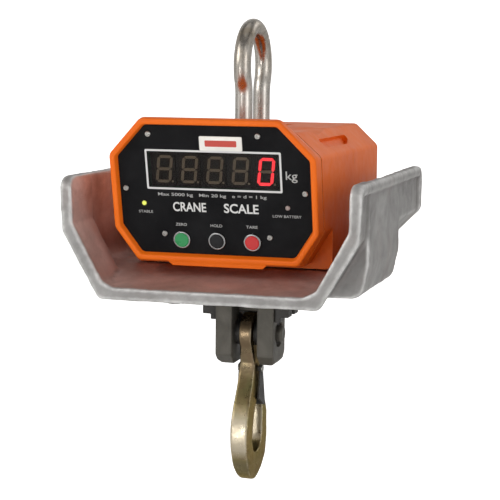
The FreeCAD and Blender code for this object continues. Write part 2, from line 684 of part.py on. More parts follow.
def display_board():
    wide = box(-84, 84, -27, 24, BOARD_N - 1.6, BOARD_N)
    low = box(-48, 48, -90, -26, BOARD_N - 1.6, BOARD_N)
    return on_panel(wide.fuse(low).removeSplitter())


def board_posts():
    posts = [panel_disc(2.6, x, s, BOARD_N, -8) for x in (-81, 81) for s in (-24, 18)]
    return group([on_panel(post) for post in posts])


def switch_bodies():
    bodies = [box(x - 6, x + 6, BUTTON_S - 6, BUTTON_S + 6, BOARD_N, SWITCH_N) for x in BUTTONS.values()]
    return group([on_panel(body) for body in bodies])


def button_rings():
    rings = []
    for x in BUTTONS.values():
        collar = panel_disc(RING_R, x, BUTTON_S, 0, 2.2)
        collar = collar.makeFillet(0.9, [collar.Edges[0]])
        ring = collar.fuse(panel_disc(CAP_R + 1.2, x, BUTTON_S, -FASCIA_T - 2, 0))
        rings.append(on_panel(ring.cut(panel_disc(CAP_R + RUN_GAP, x, BUTTON_S, -9, 9))))
    return group(rings)


def button(x):
    cap = panel_disc(CAP_R, x, BUTTON_S, SWITCH_N + BUTTON_TRAVEL + SEAT_GAP, 3.4)
    return on_panel(cap.makeFillet(1.2, [cap.Edges[0]]))


def lamp(x):
    dome = panel_disc(2.5, x, LAMP_S, -6.5, 1.2)
    return on_panel(dome.makeFillet(1.1, [dome.Edges[0]]))


def name_plate():
    plate = panel_prism([(-13.0, 21.1), (-13.0, 36.4), (33.5, 36.4), (33.5, 21.1)], 1.2, 0, 0.9)
    return on_panel(plate)


def main_board():
    return box(-62, 62, -96.0, -94.4, -88, 10)


def main_board_posts():
    posts = [rod(3.0, (x, -94.4, z), (x, -WELL_Y - WALL, z)) for x in (-24, 24) for z in (-4, -28)]
    return group(posts)


def battery():
    cell = box(-52, 52, 92, 140, -123, -55)
    cell = cell.makeFillet(2.0, cell.Edges)
    poles = [box(x - 3, x + 3, 112, 120, -55, -48) for x in (-38, 38)]
    return fuse_all([cell] + poles)


def battery_tray():
    tray = box(-56, 56, 88, 144, -125, -100)
    return tray.cut(box(-52.5, 52.5, 91.5, 140.5, -123, -90))


def rear_cover():
    y0 = BACK_Y - COVER_T
    plate = section_prism(BACK_SECTION, y0, BACK_Y)
    ears = [box(x - 6, x + 6, BACK_Y - 1, HINGE_Y + 3.5, HINGE_Z - 3.5, HINGE_Z + 3.5) for x in (-50, 50)]
    for ear in ears:
        plate = plate.fuse(ear)
    cuts = [box(-DOOR_X, DOOR_X, y0 - 5, BACK_Y + 20, DOOR_LOW, DOOR_HIGH)]
    cuts += [rod(2.0 + RUN_GAP, (-80, HINGE_Y, HINGE_Z), (80, HINGE_Y, HINGE_Z))]
    cuts += [rod(8.1, (SOCKET_X, y0 - 5, SOCKET_Z), (SOCKET_X, BACK_Y + 5, SOCKET_Z))]
    for x, z in REAR_SCREWS:
        cuts += both_sides(rod(2.6, (x, y0 - 5, z), (x, BACK_Y + 5, z)))
    return cut_all(plate, cuts)


def rear_gasket():
    ring = section_prism(BACK_SECTION, SHELL_END, SHELL_END + GASKET_T, 0.5)
    ring = ring.cut(section_prism(BACK_SECTION, SHELL_END - 1, SHELL_END + 3, WALL, SECTION_R - WALL))
    return ring


def rear_screws():
    screws = []
    for x, z in REAR_SCREWS:
        head = rod(4.6, (x, BACK_Y, z), (x, BACK_Y + 3, z))
        socket = hexagon(4.0, (x, BACK_Y + 1.2, z), (0, 3, 0))
        shank = rod(2.5, (x, 124, z), (x, BACK_Y, z))
        screws += both_sides(head.fuse(shank).cut(socket))
    return group(screws)


def battery_door():
    gap = 0.5
    leaf = box(-DOOR_X + gap, DOOR_X - gap, BACK_Y - COVER_T, BACK_Y, DOOR_LOW + gap, DOOR_HIGH - gap)
    arm = box(-43, 43, BACK_Y - 1, HINGE_Y + 3.5, HINGE_Z + 2, DOOR_LOW + 12)
    arm = arm.cut(box(-50, 50, BACK_Y - 20, BACK_Y, HINGE_Z - 10, DOOR_LOW + gap))
    arm = arm.cut(box(-50, 50, BACK_Y + 3.5, BACK_Y + 20, DOOR_LOW + 3, DOOR_LOW + 20))
    knuckle = rod(3.5, (-43, HINGE_Y, HINGE_Z), (43, HINGE_Y, HINGE_Z))
    rib = box(-2, 2, BACK_Y, BACK_Y + 1.6, DOOR_LOW + 18, DOOR_HIGH - 22)
    ribs = [rib.translated(V(x, 0, 0)) for x in range(-48, 49, 12)]
    door = fuse_all([leaf, arm, knuckle] + ribs)
    knob_hole = rod(4.0 + RUN_GAP, (0, BACK_Y - 10, DOOR_HIGH - 12), (0, BACK_Y + 10, DOOR_HIGH - 12))
    pin_hole = rod(2.0 + RUN_GAP, (-80, HINGE_Y, HINGE_Z), (80, HINGE_Y, HINGE_Z))
    return cut_all(door, [knob_hole, pin_hole])


def door_hinge_pin():
    return rod(2.0, (-58, HINGE_Y, HINGE_Z), (58, HINGE_Y, HINGE_Z))


def door_knob():
    z = DOOR_HIGH - 12
    disc = rod(9.5, (0, BACK_Y + SEAT_GAP, z), (0, BACK_Y + 4, z))
    grip = box(-8.5, 8.5, BACK_Y + 3, BACK_Y + 10, z - 2.5, z + 2.5)
    grip = grip.makeFillet(1.5, grip.Edges)
    shaft = rod(4.0, (0, BACK_Y - COVER_T - 4, z), (0, BACK_Y + 1, z))
    keeper = rod(7.0, (0, BACK_Y - COVER_T - 3, z), (0, BACK_Y - COVER_T - 0.5, z))
    return fuse_all([disc, grip, shaft, keeper])


def charge_socket():
    body = rod(8.0, (SOCKET_X, BACK_Y - COVER_T - 12, SOCKET_Z), (SOCKET_X, BACK_Y, SOCKET_Z))
    flange = rod(10.5, (SOCKET_X, BACK_Y, SOCKET_Z), (SOCKET_X, BACK_Y + 2, SOCKET_Z))
    lug = box(SOCKET_X - 3, SOCKET_X + 3, BACK_Y, BACK_Y + 5.5, SOCKET_Z + 9.5, SOCKET_Z + 15.5)
    pin_x = (SOCKET_X - 3, SOCKET_X + 3)
    pins = [rod(1.0, (x, BACK_Y - 8, SOCKET_Z), (x, BACK_Y - 1, SOCKET_Z)) for x in pin_x]
    socket = fuse_all([body, flange, lug])
    socket = socket.cut(rod(6.0, (SOCKET_X, BACK_Y - 8, SOCKET_Z), (SOCKET_X, BACK_Y + 5, SOCKET_Z)))
    for pin in pins:
        socket = socket.fuse(pin)
    pivot = rod(1.0 + RUN_GAP, (SOCKET_X - 20, BACK_Y + 3.6, SOCKET_Z + 13.4),
                (SOCKET_X + 20, BACK_Y + 3.6, SOCKET_Z + 13.4))
    return socket.cut(pivot)


def socket_cap():
    y = BACK_Y + 2
    lid = rod(9.5, (SOCKET_X, y + SEAT_GAP, SOCKET_Z), (SOCKET_X, y + 3.2, SOCKET_Z))
    lid = lid.cut(box(SOCKET_X - 3.3, SOCKET_X + 3.3, y, y + 4, SOCKET_Z + 8.6, SOCKET_Z + 10))
    plug = rod(5.7, (SOCKET_X, y - 2.0, SOCKET_Z), (SOCKET_X, y + 1, SOCKET_Z))
    arms = []
    for side in (-1, 1):
        low = SOCKET_X + side * 4.4 - 1.1
        arms.append(box(low, low + 2.2, y + SEAT_GAP, y + 3.2, SOCKET_Z + 5, SOCKET_Z + 15.4))
    pivot = rod(1.0, (SOCKET_X - 5.5, y + 1.6, SOCKET_Z + 13.4), (SOCKET_X + 5.5, y + 1.6, SOCKET_Z + 13.4))
    return fuse_all([lid, plug] + arms + [pivot])


# ---------------------------------------------------------------- heat shield

def shield_slice(half, y0, y1, radii):
    return prism(mirrored(half), radii + radii[::-1], in_xz(y0), V(0, y1 - y0, 0))


def rim_corner(end_y, inward):
    """What is cut away to round the top corners at one end of the side walls."""
    centre_y = end_y + inward * CORNER_R
    centre_z = RIM_TOP - CORNER_R
    low, high = sorted((end_y - inward, centre_y))
    waste = box(-170, 170, low, high, centre_z, RIM_TOP + 1)
    return waste.cut(rod(CORNER_R, (-175, centre_y, centre_z), (175, centre_y, centre_z)))


def heat_shield():
    outer = [
        shield_slice(LIP_FULL, RIM_FRONT, RIM_FRONT + BEAD_W, [4, 10, 8]),
        shield_slice(LIP_WALL, RIM_FRONT + BEAD_W - 1, BOX_FRONT + 1, [2, 10, 8]),
        shield_slice(BOX_WALL, BOX_FRONT, BOX_BACK, [2, 10, 16]),
        shield_slice(REAR_WALL, BOX_BACK - 1, RIM_BACK - BEAD_W + 1, [2, 8, 8]),
        shield_slice(REAR_FULL, RIM_BACK - BEAD_W, RIM_BACK, [4, 10, 8]),
    ]
    bead = [(150, RIM_TOP - BEAD_W), (164.8, RIM_TOP - BEAD_W), (165, RIM_TOP), (150, RIM_TOP)]
    bead = prism(bead, [1, 3, 3, 1], in_xz(RIM_FRONT), V(0, RIM_BACK - RIM_FRONT, 0))
    body = fuse_all(outer + both_sides(bead))
    wall = 6.5
    inner = [
        shield_slice(LIP_INNER, RIM_FRONT - 1, BOX_FRONT + wall, [1, 8, 6, 8]),
        prism(mirrored([(154.5, 0.0), (154.0, -147.0)]), [1, 18, 18, 1], in_xz(BOX_FRONT + wall),
              V(0, RAMP_END - BOX_FRONT - wall + 5, 0)),
        prism(mirrored(BOX_INNER), [1, 16, 16, 1], in_xz(RAMP_END), V(0, BOX_BACK - wall - RAMP_END, 0)),
        shield_slice(REAR_INNER, BOX_BACK - wall - 1, RIM_BACK + 1, [1, 8, 8]),
    ]
    hull = body
    body = cut_all(body, inner)
    ramp = prism([(RIM_FRONT + 2, -151.0), (RIM_FRONT + 2, -147.0), (RAMP_END - 6, PLINTH_TOP),
                  (RAMP_END + 6, PLINTH_TOP), (RAMP_END + 6, -151.0)], 0.4, in_yz(-170), V(340, 0, 0))
    body = body.fuse(ramp.common(hull))
    hollow = box(-118, 118, -70, 160, SHIELD_BOTTOM - 10, -138)
    hollow = hollow.cut(box(-64, 64, -34, 34, -200, -100))
    taper = mirrored([(118, -100), (118, -138), (82, SHIELD_BOTTOM - 11)])
    hollow = hollow.common(prism(taper, [1, 8, 1, 1, 8, 1], in_xz(-80), V(0, 260, 0)))
    cuts = [hollow, rod(BARREL_R + 1.5, (0, 0, -200), (0, 0, -100))] + bolt_holes(BOLT_HOLE_R, -200, -100)
    cuts.append(rod(4.0 + RUN_GAP, (EARTH_X, EARTH_Y, LIP_BOTTOM - 5), (EARTH_X, EARTH_Y, -152)))
    cuts += [rim_corner(RIM_FRONT, 1), rim_corner(RIM_BACK, -1)]
    return cut_all(body, cuts).removeSplitter()


def earth_bolt():
    head = hexagon(13.0, (EARTH_X, EARTH_Y, LIP_BOTTOM + 6.1), (0, 0, -8.6))
    return head.fuse(rod(4.0, (EARTH_X, EARTH_Y, LIP_BOTTOM + 6.0), (EARTH_X, EARTH_Y, -152.5)))


def seat_mat():
    mat = box(-92, 92, -66, 140, PLINTH_TOP, BOTTOM_Z)
    barrel = rod(BARREL_R + 1.5, (0, 0, -200), (0, 0, -100))
    return cut_all(mat, bolt_holes(BOLT_HOLE_R, -200, -100) + [barrel])


def latch_spring():
    """Two coils round the latch pin on each side of the neck."""
    coils = []
    for x in (9.9, 10.5):
        coils.append(Part.makeTorus(3.2, 0.28, V(x, LATCH_Y, LATCH_Z), V(1, 0, 0)))
    return group(both_sides(coils[0]) + both_sides(coils[1]))


PARTS = {
    "shackle_bow": shackle_bow,
    "shackle_pin": shackle_pin,
    "shackle_nut": shackle_nut,
    "shackle_split_pin": shackle_split_pin,
    "load_cell": load_cell,
    "gauge_covers": gauge_covers,
    "cell_cable": cell_cable,
    "clamp_plate": clamp_plate,
    "shield_bolts": shield_bolts,
    "shield_brackets": shield_brackets,
    "clevis": clevis,
    "stud_lock_pin": stud_lock_pin,
    "clevis_pin": clevis_pin,
    "pin_circlips": pin_circlips,
    "hook_spacers": hook_spacers,
    "hook": hook,
    "hook_latch": hook_latch,
    "latch_pin": latch_pin,
    "latch_spring": latch_spring,
    "heat_shield": heat_shield,
    "seat_mat": seat_mat,
    "earth_bolt": earth_bolt,
    "housing_shell": housing_shell,
    "front_gasket": front_gasket,
    "front_frame": front_frame,
    "frame_screws": frame_screws,
    "fascia": fascia,
    "fascia_screws": fascia_screws,
    "name_plate": name_plate,
    "display_window": display_window,
    "digit_blocks": digit_blocks,
    "display_board": display_board,
    "board_posts": board_posts,
    "switch_bodies": switch_bodies,
    "button_rings": button_rings,
    "green_button": lambda: button(BUTTONS["green_button"]),
    "black_button": lambda: button(BUTTONS["black_button"]),
    "red_button": lambda: button(BUTTONS["red_button"]),
    "green_lamp": lambda: lamp(-LAMP_X),
    "red_lamp": lambda: lamp(LAMP_X),
    "main_board": main_board,
    "main_board_posts": main_board_posts,
    "battery": battery,
    "battery_tray": battery_tray,
    "rear_gasket": rear_gasket,
    "rear_cover": rear_cover,
    "rear_screws": rear_screws,
    "battery_door": battery_door,
    "door_hinge_pin": door_hinge_pin,
    "door_knob": door_knob,
    "charge_socket": charge_socket,
    "socket_cap": socket_cap,
}


def main():
    os.makedirs("parts", exist_ok=True)
    for name, make in PARTS.items():
        shape = make()
        shape.translate(V(0, 0, -SEAT_Z))
        shape.exportStep(os.path.join("parts", name + ".step"))


main()
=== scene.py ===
"""Looks for the crane scale: cast, forged and painted surfaces, panel print, lit digits, studio and camera.

Metres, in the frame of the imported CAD. The panel print is laid out in millimetres on the display panel:
x to the reader's right, s up the leaning face and n out of it, from the middle of the face.
"""
import json
import math

import bmesh
import bpy
from mathutils import Matrix, Vector


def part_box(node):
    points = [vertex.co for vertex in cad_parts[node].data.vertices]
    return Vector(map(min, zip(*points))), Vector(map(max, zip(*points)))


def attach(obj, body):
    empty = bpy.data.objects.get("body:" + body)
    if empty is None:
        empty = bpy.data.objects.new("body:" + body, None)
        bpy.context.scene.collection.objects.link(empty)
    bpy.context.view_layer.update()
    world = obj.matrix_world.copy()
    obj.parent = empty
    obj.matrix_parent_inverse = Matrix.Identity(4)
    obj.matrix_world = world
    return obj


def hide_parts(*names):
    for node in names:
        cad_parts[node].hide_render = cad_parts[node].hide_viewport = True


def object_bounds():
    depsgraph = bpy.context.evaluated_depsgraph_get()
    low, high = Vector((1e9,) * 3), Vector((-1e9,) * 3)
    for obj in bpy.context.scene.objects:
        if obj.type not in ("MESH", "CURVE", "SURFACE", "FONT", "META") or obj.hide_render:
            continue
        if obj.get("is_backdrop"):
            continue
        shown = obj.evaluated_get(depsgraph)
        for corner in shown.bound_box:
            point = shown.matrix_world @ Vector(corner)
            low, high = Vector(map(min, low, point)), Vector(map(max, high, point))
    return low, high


MM = 0.001
CAD_WELD = 0.004 * MM
LETTER_WELD = 1e-5    # in font units
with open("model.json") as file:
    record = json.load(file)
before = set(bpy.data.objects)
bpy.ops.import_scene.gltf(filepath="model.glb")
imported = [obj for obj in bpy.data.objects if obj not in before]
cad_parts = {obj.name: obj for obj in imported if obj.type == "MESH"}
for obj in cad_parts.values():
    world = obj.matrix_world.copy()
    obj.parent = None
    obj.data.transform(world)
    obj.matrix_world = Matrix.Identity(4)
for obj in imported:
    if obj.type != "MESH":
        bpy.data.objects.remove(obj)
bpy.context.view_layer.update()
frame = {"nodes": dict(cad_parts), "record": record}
nodes = frame["nodes"]

PIN_Z = (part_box("shackle_pin")[0].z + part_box("shackle_pin")[1].z) / 2
PANEL_TILT = math.radians(12.8)
PANEL_ORIGIN = Vector((0.0, -146.7 * MM, PIN_Z - 20.0 * MM))  # middle of the panel's face
PANEL = Matrix.Translation(PANEL_ORIGIN) @ Matrix.Rotation(math.radians(90.0) + PANEL_TILT, 4, "X")


# ------------------------------------------------------------------ node material helpers

MIX_FACTOR, MIX_A, MIX_B, MIX_RESULT = 0, 6, 7, 2  # colour sockets of a Mix node


class Look:
    """One procedural material: a Principled shader fed by a few node chains in object coordinates."""

    def __init__(self, name, **values):
        self.material = bpy.data.materials.new(name)
        self.material.use_nodes = True
        self.tree = self.material.node_tree
        self.shader = self.tree.nodes["Principled BSDF"]
        self.output = self.tree.nodes["Material Output"]
        self.coords = self.add("ShaderNodeTexCoord").outputs["Object"]
        for key, value in values.items():
            self.shader.inputs[key.replace("_", " ")].default_value = value

    def add(self, kind, inputs=None, **settings):
        """New node with its inputs linked to sockets or set to values."""
        node = self.tree.nodes.new(kind)
        for key, value in settings.items():
            setattr(node, key, value)
        for key, value in (inputs or {}).items():
            self.feed(node, key, value)
        return node

    def feed(self, node, key, value):
        if isinstance(value, bpy.types.NodeSocket):
            self.tree.links.new(value, node.inputs[key])
        else:
            node.inputs[key].default_value = value

    def set(self, key, value):
        self.feed(self.shader, key, value)

    def emit(self, colour, strength):
        self.set("Emission Color", colour)
        self.set("Emission Strength", strength)

    def split(self, vector):
        """X, Y and Z of a vector socket."""
        return self.add("ShaderNodeSeparateXYZ", {"Vector": vector}).outputs

    def height(self):
        return self.split(self.coords)["Z"]

    def normal(self):
        return self.split(self.add("ShaderNodeTexCoord").outputs["Normal"])

    def stretched(self, x, y, z):
        return self.add("ShaderNodeMapping", {"Vector": self.coords, "Scale": (x, y, z)}).outputs["Vector"]

    def noise(self, scale, detail=3.0, roughness=0.55, distortion=0.0, vector=None):
        node = self.add("ShaderNodeTexNoise", {
            "Vector": vector or self.coords, "Scale": scale, "Detail": detail,
            "Roughness": roughness, "Distortion": distortion})
        return node.outputs["Fac"]

    def ramp(self, value, low, high, to_low=0.0, to_high=1.0):
        """Maps low..high onto to_low..to_high and holds the ends."""
        node = self.add("ShaderNodeMapRange", {
            "Value": value, "From Min": low, "From Max": high, "To Min": to_low, "To Max": to_high})
        return node.outputs["Result"]

    def math(self, operation, a, b=0.0):
        return self.add("ShaderNodeMath", {0: a, 1: b}, operation=operation).outputs["Value"]

    def mix(self, factor, a, b):
        node = self.add("ShaderNodeMix", data_type="RGBA")
        for socket, value in ((MIX_FACTOR, factor), (MIX_A, a), (MIX_B, b)):
            self.feed(node, socket, value)
        return node.outputs[MIX_RESULT]

    def soft_normal(self, radius):
        return self.add("ShaderNodeBevel", {"Radius": radius}, samples=4).outputs["Normal"]

    def edges(self, radius):
        """1 on convex and concave edges of the mesh, 0 on flats."""
        bent = self.add("ShaderNodeBevel", {"Radius": radius}, samples=6).outputs["Normal"]
        flat = self.add("ShaderNodeNewGeometry").outputs["Normal"]
        same = self.add("ShaderNodeVectorMath", {0: bent, 1: flat}, operation="DOT_PRODUCT").outputs["Value"]
        return self.ramp(self.math("SUBTRACT", 1.0, same), 0.004, 0.09)

    def ridges(self, low=0.505, high=0.53):
        """1 on raised edges of a dense mesh."""
        return self.ramp(self.add("ShaderNodeNewGeometry").outputs["Pointiness"], low, high)

    def hollows(self):
        """1 in the inner corners of a dense mesh."""
        return self.ramp(self.add("ShaderNodeNewGeometry").outputs["Pointiness"], 0.495, 0.46)

    def facing_inward(self):
        """1 on tray faces that look at the load line or up from the floor, 0 on outer faces and rims."""
        normal, place = self.normal(), self.split(self.coords)
        wall = self.ramp(self.math("MULTIPLY", normal["X"], place["X"]), -0.03, -0.08)
        floor = self.ramp(normal["Z"], 0.5, 0.85)
        floor = self.math("MULTIPLY", floor, self.ramp(place["Z"], PIN_Z - 0.070, PIN_Z - 0.100))
        return self.math("MAXIMUM", wall, floor)

    def bump(self, height, distance, strength, normal=None):
        inputs = {"Height": height, "Distance": distance, "Strength": strength}
        if normal is not None:
            inputs["Normal"] = normal
        return self.add("ShaderNodeBump", inputs).outputs["Normal"]


def rgb(r, g, b):
    return (r, g, b, 1.0)


def painted_orange():
    """Satin enamel with faint grime, worn thin along edges."""
    look = Look("paint_orange", Specular_IOR_Level=0.22)
    broad = look.noise(9.0, 2.0)
    base = look.mix(look.ramp(broad, 0.3, 0.7), rgb(0.80, 0.134, 0.005), rgb(0.90, 0.170, 0.007))
    grime = look.noise(46.0, 4.0, 0.7)
    base = look.mix(look.ramp(grime, 0.60, 0.86, 0.0, 0.35), base, rgb(0.42, 0.085, 0.016))
    worn = look.math("MULTIPLY", look.edges(1.1 * MM), look.ramp(look.noise(160.0, 4.0, 0.7), 0.42, 0.62))
    base = look.mix(look.math("MULTIPLY", worn, 0.55), base, rgb(0.95, 0.34, 0.10))
    look.set("Base Color", base)
    look.set("Roughness", look.ramp(look.noise(70.0, 3.0), 0.3, 0.7, 0.38, 0.52))
    orange_peel = look.noise(520.0, 2.0, 0.5)
    look.set("Normal", look.bump(orange_peel, 0.05 * MM, 0.3))
    return look.material


def cast_aluminium():
    """Raw casting: blotched grey outside, a painted reflection of the orange housing on the inward faces
    (darker toward the floor), a bright worn rim, painted shade in the inner corners.
    """
    floor_z, wall_z = PIN_Z - 0.135, PIN_Z - 0.090
    look = Look("cast_aluminium", Metallic=0.55)
    blotch = look.noise(17.0, 5.0, 0.62, 0.6)
    base = look.mix(look.ramp(blotch, 0.32, 0.68), rgb(0.21, 0.203, 0.197), rgb(0.37, 0.360, 0.352))
    # Painted reflection of the orange housing on the faces turned inward: mauve, darker toward the floor.
    floor = look.mix(look.ramp(blotch, 0.3, 0.7), rgb(0.40, 0.285, 0.252), rgb(0.64, 0.455, 0.405))
    wall = look.mix(look.ramp(blotch, 0.3, 0.7), rgb(0.50, 0.41, 0.375), rgb(0.86, 0.75, 0.70))
    painted_housing_reflection = look.mix(look.ramp(look.height(), floor_z, wall_z), floor, wall)
    base = look.mix(look.facing_inward(), base, painted_housing_reflection)
    stain = look.noise(6.5, 3.0, 0.6, 1.2)
    base = look.mix(look.ramp(stain, 0.50, 0.72, 0.0, 0.30), base, rgb(0.33, 0.24, 0.215))
    pits = look.noise(330.0, 4.0, 0.75)
    base = look.mix(look.ramp(pits, 0.60, 0.78, 0.0, 0.55), base, rgb(0.16, 0.145, 0.14))
    rim = look.math("MULTIPLY", look.ridges(), look.ramp(look.noise(120.0, 4.0, 0.7), 0.34, 0.55, 0.55, 1.0))
    bright = look.mix(look.ramp(blotch, 0.35, 0.65), rgb(0.42, 0.41, 0.40), rgb(0.70, 0.69, 0.68))
    base = look.mix(rim, base, bright)
    # Painted shade in the inner corners.
    base = look.mix(look.math("MULTIPLY", look.hollows(), 0.6), base, rgb(0.12, 0.10, 0.095))
    look.set("Base Color", base)
    rough = look.ramp(look.noise(85.0, 4.0), 0.3, 0.7, 0.44, 0.62)
    look.set("Roughness", look.math("SUBTRACT", rough, look.math("MULTIPLY", rim, 0.14)))
    grain = look.bump(look.noise(520.0, 5.0, 0.7), 0.35 * MM, 0.65)
    look.set("Normal", look.bump(look.noise(60.0, 3.0, 0.55), 1.2 * MM, 0.45, grain))
    return look.material


def forged_hook():
    """Yellow zinc over a forged skin, with painted shade at the eye and the tip and a painted highlight on
    the front of the spine.
    """
    tip_z, belly_z, neck_z, eye_z = PIN_Z - 0.364, PIN_Z - 0.346, PIN_Z - 0.292, PIN_Z - 0.256
    look = Look("forged_yellow_zinc", Metallic=1.0, Specular_Tint=rgb(0.80, 0.68, 0.48))
    tone = look.noise(28.0, 4.0, 0.6, 1.0)
    base = look.mix(look.ramp(tone, 0.33, 0.66), rgb(0.210, 0.155, 0.072), rgb(0.310, 0.240, 0.120))
    green = look.noise(15.0, 3.0, 0.6, 2.0)
    base = look.mix(look.ramp(green, 0.48, 0.66, 0.0, 0.55), base, rgb(0.21, 0.205, 0.085))
    scale = look.noise(240.0, 5.0, 0.72)
    base = look.mix(look.ramp(scale, 0.58, 0.75, 0.0, 0.5), base, rgb(0.13, 0.095, 0.05))
    height = look.height()
    # Painted shade on the downward-facing tip.
    base = look.mix(look.ramp(height, tip_z + 0.012, tip_z, 0.0, 0.55), base, rgb(0.12, 0.105, 0.070))
    # Painted shade on the eye, up in the clevis slot.
    base = look.mix(look.ramp(height, eye_z - 0.016, eye_z, 0.0, 0.65), base, rgb(0.15, 0.105, 0.075))
    # Painted highlight on the front face of the spine, between the neck and the tip.
    above_tip = look.ramp(height, belly_z - 0.012, belly_z)
    below_neck = look.ramp(height, neck_z, neck_z - 0.020)
    facing_front = look.ramp(look.normal()["Y"], -0.80, -0.96, 0.0, 0.65)
    wear_and_painted_highlight = look.math("MULTIPLY", look.math("MULTIPLY", above_tip, below_neck), facing_front)
    base = look.mix(wear_and_painted_highlight, base, rgb(0.56, 0.50, 0.40))
    worn = look.math("MULTIPLY", look.ridges(0.51, 0.545), look.ramp(look.noise(95.0, 4.0, 0.7), 0.4, 0.6))
    base = look.mix(look.math("MULTIPLY", worn, 0.7), base, rgb(0.52, 0.46, 0.33))
    look.set("Base Color", base)
    look.set("Roughness", look.ramp(look.noise(110.0, 4.0, 0.65), 0.3, 0.7, 0.24, 0.38))
    skin = look.bump(look.noise(430.0, 4.0, 0.65), 0.16 * MM, 0.4)
    look.set("Normal", look.bump(look.noise(75.0, 3.0), 0.6 * MM, 0.22, skin))
    return look.material


def bright_steel(name, colour, rough, lines, wear=0.0, tarnish=0.0):
    """Polished, plated or machined metal with fine draw marks and cloudy roughness.

    lines is how fine the marks are along x, y and z. Tarnish grows upward from the shackle's legs.
    """
    look = Look(name, Metallic=1.0)
    cloud = look.noise(38.0, 4.0, 0.6)
    dull = tuple(c * 0.72 for c in colour)
    base = look.mix(look.ramp(cloud, 0.35, 0.7), rgb(*colour), rgb(*dull))
    if wear:
        spots = look.ramp(look.noise(210.0, 5.0, 0.7), 0.60, 0.74, 0.0, wear)
        base = look.mix(spots, base, rgb(0.20, 0.13, 0.08))
    if tarnish:
        film = look.ramp(look.noise(26.0, 4.0, 0.6, 0.8), 0.34, 0.60, 0.25, 1.0)
        upward = look.ramp(look.height(), PIN_Z + 0.068, PIN_Z + 0.112, 0.12, tarnish)
        film = look.math("MULTIPLY", film, upward)
        base = look.mix(film, base, rgb(0.26, 0.205, 0.140))
    look.set("Base Color", base)
    look.set("Roughness", look.ramp(look.noise(90.0, 4.0, 0.65), 0.3, 0.7, rough * 0.75, rough * 1.4))
    marks = look.noise(1.0, 4.0, 0.6, 0.0, look.stretched(*lines))
    look.set("Normal", look.bump(marks, 0.03 * MM, 0.5, look.soft_normal(0.5 * MM)))
    return look.material


def dark_metal(name, colour, edge, rough, metallic):
    """Black oxide or grey enamel: dark skin, brighter where edges have worn."""
    look = Look(name, Metallic=metallic, Specular_IOR_Level=0.3)
    cloud = look.noise(30.0, 4.0, 0.6, 0.5)
    base = look.mix(look.ramp(cloud, 0.32, 0.7), rgb(*colour), rgb(*(c * 1.45 for c in colour)))
    rust = look.ramp(look.noise(130.0, 5.0, 0.75), 0.62, 0.78, 0.0, 0.5)
    base = look.mix(rust, base, rgb(0.13, 0.075, 0.045))
    wear_and_painted_highlight = look.math("MULTIPLY", look.edges(0.9 * MM), look.ramp(look.noise(180.0, 4.0, 0.7), 0.36, 0.58))
    base = look.mix(look.math("MULTIPLY", wear_and_painted_highlight, 0.75), base, rgb(*edge))
    look.set("Base Color", base)
    look.set("Roughness", look.ramp(look.noise(75.0, 4.0), 0.3, 0.7, rough * 0.85, rough * 1.2))
    skin = look.noise(480.0, 3.0, 0.6)
    look.set("Normal", look.bump(skin, 0.12 * MM, 0.6, look.soft_normal(0.8 * MM)))
    return look.material


def moulded(name, colour, rough, grain, coat=0.0, glow=0.0, shine=0.4):
    """Moulded plastic, rubber or printed film. A glow lights a lamp; on parts that are no lamps it is a faint
    painted glow.
    """
    look = Look(name, Coat_Weight=coat, Coat_Roughness=0.08, Specular_IOR_Level=shine)
    cloud = look.noise(24.0, 3.0, 0.6)
    light = tuple(min(1.0, c * 1.25 + 0.004) for c in colour)
    base = look.mix(look.ramp(cloud, 0.35, 0.7), rgb(*colour), rgb(*light))
    dust = look.ramp(look.noise(260.0, 5.0, 0.75), 0.66, 0.82, 0.0, 0.10)
    base = look.mix(dust, base, rgb(0.45, 0.43, 0.40))
    look.set("Base Color", base)
    look.set("Roughness", look.ramp(look.noise(55.0, 4.0, 0.65), 0.3, 0.7, rough * 0.85, rough * 1.2))
    look.set("Normal", look.bump(look.noise(grain, 2.0), 0.06 * MM, 0.5, look.soft_normal(0.35 * MM)))
    if glow:
        look.emit(base, glow)
    return look.material


def window_filter():
    """Tinted filter: what lies behind it shows through, darkened, under a soft sheen."""
    look = Look("window_filter")
    tint = look.mix(look.noise(12.0), rgb(0.66, 0.60, 0.55), rgb(0.60, 0.54, 0.49))
    through = look.add("ShaderNodeBsdfTransparent", {"Color": tint}).outputs["BSDF"]
    rough = look.ramp(look.noise(40.0, 3.0), 0.3, 0.7, 0.10, 0.20)
    sheen = look.add("ShaderNodeBsdfGlossy", {"Color": rgb(0.45, 0.45, 0.45), "Roughness": rough})
    outside = look.math("SUBTRACT", 1.0, look.add("ShaderNodeNewGeometry").outputs["Backfacing"])
    shine = look.math("MULTIPLY", look.add("ShaderNodeFresnel", {"IOR": 1.42}).outputs["Fac"], outside)
    both = look.add("ShaderNodeMixShader", {0: shine, 1: through, 2: sheen.outputs["BSDF"]}).outputs["Shader"]
    look.tree.links.new(both, look.output.inputs["Surface"])
    return look.material


def print_ink(name, colour, glow=0.0):
    """Slightly worn ink, or a bar of a digit: a lit bar glows as a lamp, an unlit one with a faint painted
    glow.
    """
    look = Look(name, Roughness=0.5)
    worn = look.ramp(look.noise(420.0, 4.0, 0.7), 0.62, 0.8, 0.0, 0.45)
    base = look.mix(worn, rgb(*colour), rgb(*(c * 0.45 for c in colour)))
    look.set("Base Color", base)
    look.set("Normal", look.bump(look.noise(900.0, 2.0), 0.03 * MM, 0.4))
    if glow:
        look.emit(base, glow)
    return look.material


